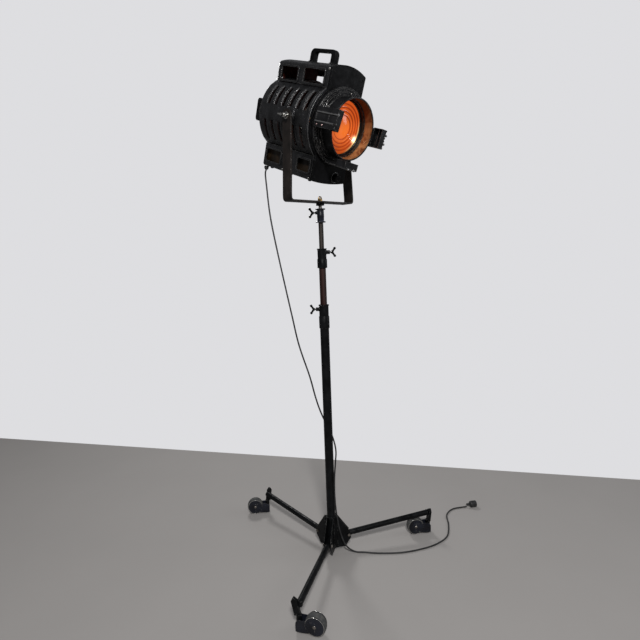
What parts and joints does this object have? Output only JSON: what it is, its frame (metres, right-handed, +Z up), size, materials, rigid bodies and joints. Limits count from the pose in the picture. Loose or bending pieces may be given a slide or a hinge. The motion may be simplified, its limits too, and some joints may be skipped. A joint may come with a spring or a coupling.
{
  "type": "stage spotlight on wheeled stand",
  "caption": "Stepped-lens stage spotlight in a tilting yoke on a telescopic stand with splayed legs and swivel castors.",
  "frame": {"origin": "the middle of the underside of the base hub, on the axis of the column, 17 mm above the floor", "axes": "+Z up the column, -Y the way the lens looks, X along the tilt pivots"},
  "size_m": [1.2137, 0.8913, 2.1396],
  "materials": {
    "casting_black": "crinkled black paint over cast and sheet metal, edges worn to grey",
    "bar_brown": "thin brown-black paint on flat steel bar",
    "stand_black": "smooth black paint, scuffed",
    "tube_brown": "dark brown bronzed steel tube",
    "steel_worn": "tarnished bare steel",
    "steel_bright": "bright plated steel",
    "brass_old": "aged brass",
    "wheel_dark": "dark painted pressed steel",
    "tyre_grey": "grey non-marking rubber",
    "flex_black": "black rubber flex",
    "lens_amber": "stepped pressed glass, glowing amber",
    "bulb_glass": "clear blown glass",
    "mirror_silver": "polished spherical mirror",
    "ceramic_cream": "glazed ceramic"
  },
  "bodies": {
    "base": {"base_hub": "stand_black", "lower_tube": "stand_black", "lower_clamp": "stand_black", "cable_run": "flex_black", "cable_plug": "flex_black", "leg_back": "stand_black", "leg_left": "stand_black", "leg_right": "stand_black", "leg_bolt_back": "steel_worn", "leg_bolt_left": "steel_worn", "leg_bolt_right": "steel_worn"},
    "middle_stage": {"middle_tube": "tube_brown", "middle_clamp": "stand_black"},
    "top_stage": {"upper_tube": "steel_worn", "top_socket": "stand_black"},
    "lower_thumbscrew": {"lower_clamp_screw": "stand_black"},
    "middle_thumbscrew": {"middle_clamp_screw": "stand_black"},
    "socket_thumbscrew": {"socket_screw": "stand_black"},
    "yoke_frame": {"yoke": "bar_brown", "spigot": "stand_black", "yoke_eye_nut": "brass_old", "cable_drop": "flex_black"},
    "head": {"drum_shell": "casting_black", "bonnet": "casting_black", "bottom_housing": "casting_black", "front_plate": "casting_black", "rear_plate": "casting_black", "carry_handle": "casting_black", "rear_grip": "casting_black", "cable_gland": "flex_black", "carriage_rail": "steel_worn", "door_hinge_pin": "steel_worn", "pivot_stud_left": "steel_bright", "pivot_stud_right": "steel_bright"},
    "pivot_nut_left": {"wing_nut_left": "steel_bright"},
    "pivot_nut_right": {"wing_nut_right": "steel_bright"},
    "lamp_unit": {"lamp_carriage": "steel_worn", "lamp_holder": "ceramic_cream", "lamp_bulb": "bulb_glass", "reflector": "mirror_silver"},
    "focus_drive": {"focus_screw": "steel_worn", "focus_knob": "casting_black"},
    "lens_door": {"lens_tube": "casting_black", "fresnel_lens": "lens_amber", "lens_ring": "brass_old", "runner_left": "casting_black", "runner_right": "casting_black", "runner_bottom": "casting_black"},
    "caster_back": {"caster_fork_back": "stand_black", "caster_axle_back": "steel_bright"},
    "wheel_back": {"wheel_hub_back": "wheel_dark", "tyre_back": "tyre_grey"},
    "caster_left": {"caster_fork_left": "stand_black", "caster_axle_left": "steel_bright"},
    "wheel_left": {"wheel_hub_left": "wheel_dark", "tyre_left": "tyre_grey"},
    "caster_right": {"caster_fork_right": "stand_black", "caster_axle_right": "steel_bright"},
    "wheel_right": {"wheel_hub_right": "wheel_dark", "tyre_right": "tyre_grey"}
  },
  "joints": [
    {"name": "lower_section_slide", "type": "slide", "parent": "base", "child": "middle_stage", "axis": [0, 0, 1], "range_m": [-0.14, 0.55]},
    {"name": "upper_section_slide", "type": "slide", "parent": "middle_stage", "child": "top_stage", "axis": [0, 0, 1], "range_m": [-0.095, 0.55]},
    {"name": "yoke_pan", "type": "hinge", "parent": "top_stage", "child": "yoke_frame", "pos_m": [0, 0, 1.483], "axis": [0, 0, 1], "range_deg": [-175, 175]},
    {"name": "head_tilt", "type": "hinge", "parent": "yoke_frame", "child": "head", "pos_m": [0, 0, 1.851], "axis": [-1, 0, 0], "range_deg": [-30, 50]},
    {"name": "lens_door_hinge", "type": "hinge", "parent": "head", "child": "lens_door", "pos_m": [0.15, -0.12427, 1.8065], "axis": [0, -0.3371, 0.9415], "range_deg": [0, 100]},
    {"name": "focus_slide", "type": "slide", "parent": "head", "child": "lamp_unit", "axis": [0, -0.9415, -0.3371], "range_m": [-0.09, 0.07]},
    {"name": "focus_knob_turn", "type": "hinge", "parent": "head", "child": "focus_drive", "pos_m": [0.036, -0.06305, 1.62661], "axis": [0, -0.9415, -0.3371], "range_deg": [-1280, 1000]},
    {"name": "lower_clamp_screw_turn", "type": "hinge", "parent": "base", "child": "lower_thumbscrew", "pos_m": [-0.03578, 0.03492, 1.095], "axis": [-0.7157, 0.6984, 0], "range_deg": [0, 270]},
    {"name": "middle_clamp_screw_turn", "type": "hinge", "parent": "middle_stage", "child": "middle_thumbscrew", "pos_m": [0.03578, -0.03492, 1.333], "axis": [0.7157, -0.6984, 0], "range_deg": [0, 270]},
    {"name": "socket_screw_turn", "type": "hinge", "parent": "top_stage", "child": "socket_thumbscrew", "pos_m": [-0.03578, 0.03492, 1.495], "axis": [-0.7157, 0.6984, 0], "range_deg": [0, 270]},
    {"name": "wing_nut_left_turn", "type": "hinge", "parent": "head", "child": "pivot_nut_left", "pos_m": [-0.17, 0, 1.851], "axis": [-1, 0, 0], "range_deg": [0, 270]},
    {"name": "wing_nut_right_turn", "type": "hinge", "parent": "head", "child": "pivot_nut_right", "pos_m": [0.17, 0, 1.851], "axis": [1, 0, 0], "range_deg": [0, 270]},
    {"name": "caster_swivel_back", "type": "hinge", "parent": "base", "child": "caster_back", "pos_m": [0, 0.478, 0.043], "axis": [0, 0, 1], "continuous": true},
    {"name": "wheel_spin_back", "type": "hinge", "parent": "caster_back", "child": "wheel_back", "pos_m": [-0.05111, 0.51652, 0.023], "axis": [-0.6018, -0.7986, 0], "continuous": true},
    {"name": "caster_swivel_left", "type": "hinge", "parent": "base", "child": "caster_left", "pos_m": [-0.41396, -0.239, 0.043], "axis": [0, 0, 1], "continuous": true},
    {"name": "wheel_spin_left", "type": "hinge", "parent": "caster_left", "child": "wheel_left", "pos_m": [-0.3849, -0.29602, 0.023], "axis": [0.891, 0.454, 0], "continuous": true},
    {"name": "caster_swivel_right", "type": "hinge", "parent": "base", "child": "caster_right", "pos_m": [0.41396, -0.239, 0.043], "axis": [0, 0, 1], "continuous": true},
    {"name": "wheel_spin_right", "type": "hinge", "parent": "caster_right", "child": "wheel_right", "pos_m": [0.36285, -0.20048, 0.023], "axis": [-0.6018, -0.7986, 0], "continuous": true}
  ],
  "couplings": [
    {"joint": "focus_knob_turn", "follows": "focus_slide", "rad_per_m": 247.37}
  ]
}
